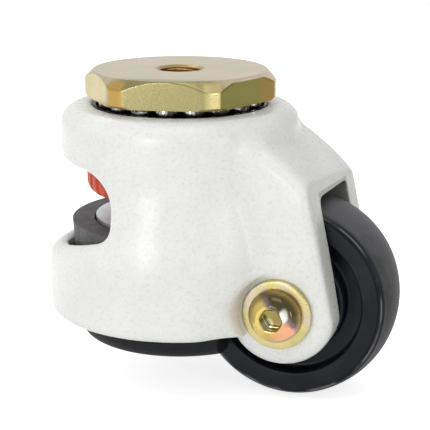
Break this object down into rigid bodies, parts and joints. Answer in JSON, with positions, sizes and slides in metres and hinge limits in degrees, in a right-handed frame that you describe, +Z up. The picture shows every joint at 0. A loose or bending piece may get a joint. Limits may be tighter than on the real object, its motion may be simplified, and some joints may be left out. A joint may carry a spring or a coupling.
{
  "type": "levelling castor",
  "caption": "Compact swivel castor with a threaded mounting head, a cast housing and a rubber levelling foot lowered by a thumb dial beside the wheel.",
  "frame": {"origin": "middle of the threaded mounting hole, at the top face of the mounting head", "axes": "+Z up out of the mounting hole along the swivel axis, +X towards the wheel, Y along the axle"},
  "size_m": [0.089, 0.066, 0.0792],
  "materials": {
    "painted_casting": "speckled off-white gloss paint on a die casting",
    "zinc_plate": "iridescent yellow chromate on zinc plated steel",
    "bearing_steel": "ground steel, greased",
    "spring_steel": "phosphated",
    "plain_steel": "bright zinc",
    "red_plastic": "moulded",
    "black_rubber": "moulded",
    "black_plastic": "moulded nylon"
  },
  "bodies": {
    "head": {"mounting_head": "zinc_plate", "retaining_race": "bearing_steel", "race_snap_ring": "spring_steel", "nut_snap_ring": "spring_steel"},
    "fork": {"housing": "painted_casting", "upper_race": "bearing_steel", "lower_race": "bearing_steel", "axle_bolt": "zinc_plate", "bolt_washer": "zinc_plate", "nut_washer": "zinc_plate", "axle_nut": "zinc_plate", "near_bearing_inner_ring": "bearing_steel", "far_bearing_inner_ring": "bearing_steel", "bearing_spacer": "plain_steel", "near_spacer_washer": "plain_steel", "far_spacer_washer": "plain_steel"},
    "upper_ball_row": {"upper_balls": "bearing_steel"},
    "lower_ball_row": {"lower_balls": "bearing_steel"},
    "rolling_wheel": {"wheel": "black_plastic", "near_bearing_outer_ring": "bearing_steel", "far_bearing_outer_ring": "bearing_steel"},
    "near_ball_row": {"near_bearing_balls": "bearing_steel"},
    "far_ball_row": {"far_bearing_balls": "bearing_steel"},
    "thumb_dial": {"dial": "red_plastic", "dial_nut": "plain_steel"},
    "levelling_foot": {"foot_screw": "plain_steel", "foot_plate": "plain_steel", "foot_pad": "black_rubber"}
  },
  "joints": [
    {"name": "swivel", "type": "hinge", "parent": "head", "child": "fork", "pos_m": [0, 0, 0], "axis": [0, 0, 1], "continuous": true},
    {"name": "upper_balls_roll", "type": "hinge", "parent": "head", "child": "upper_ball_row", "pos_m": [0, 0, 0], "axis": [0, 0, 1], "continuous": true},
    {"name": "lower_balls_roll", "type": "hinge", "parent": "head", "child": "lower_ball_row", "pos_m": [0, 0, 0], "axis": [0, 0, 1], "continuous": true},
    {"name": "wheel_spin", "type": "hinge", "parent": "fork", "child": "rolling_wheel", "pos_m": [0.031, 0, -0.0542], "axis": [0, 1, 0], "continuous": true},
    {"name": "near_balls_roll", "type": "hinge", "parent": "fork", "child": "near_ball_row", "pos_m": [0.031, 0, -0.0542], "axis": [0, 1, 0], "continuous": true},
    {"name": "far_balls_roll", "type": "hinge", "parent": "fork", "child": "far_ball_row", "pos_m": [0.031, 0, -0.0542], "axis": [0, 1, 0], "continuous": true},
    {"name": "dial_turn", "type": "hinge", "parent": "fork", "child": "thumb_dial", "pos_m": [0, 0, 0], "axis": [0, 0, 1], "range_deg": [0, 3600]},
    {"name": "foot_drop", "type": "slide", "parent": "fork", "child": "levelling_foot", "axis": [0, 0, -1], "range_m": [0, 0.015]}
  ],
  "couplings": [
    {"joint": "upper_balls_roll", "follows": "swivel", "ratio": 0.5},
    {"joint": "lower_balls_roll", "follows": "swivel", "ratio": 0.5},
    {"joint": "near_balls_roll", "follows": "wheel_spin", "ratio": 0.633},
    {"joint": "far_balls_roll", "follows": "wheel_spin", "ratio": 0.633},
    {"joint": "dial_turn", "follows": "foot_drop", "rad_per_m": 4188.8}
  ]
}
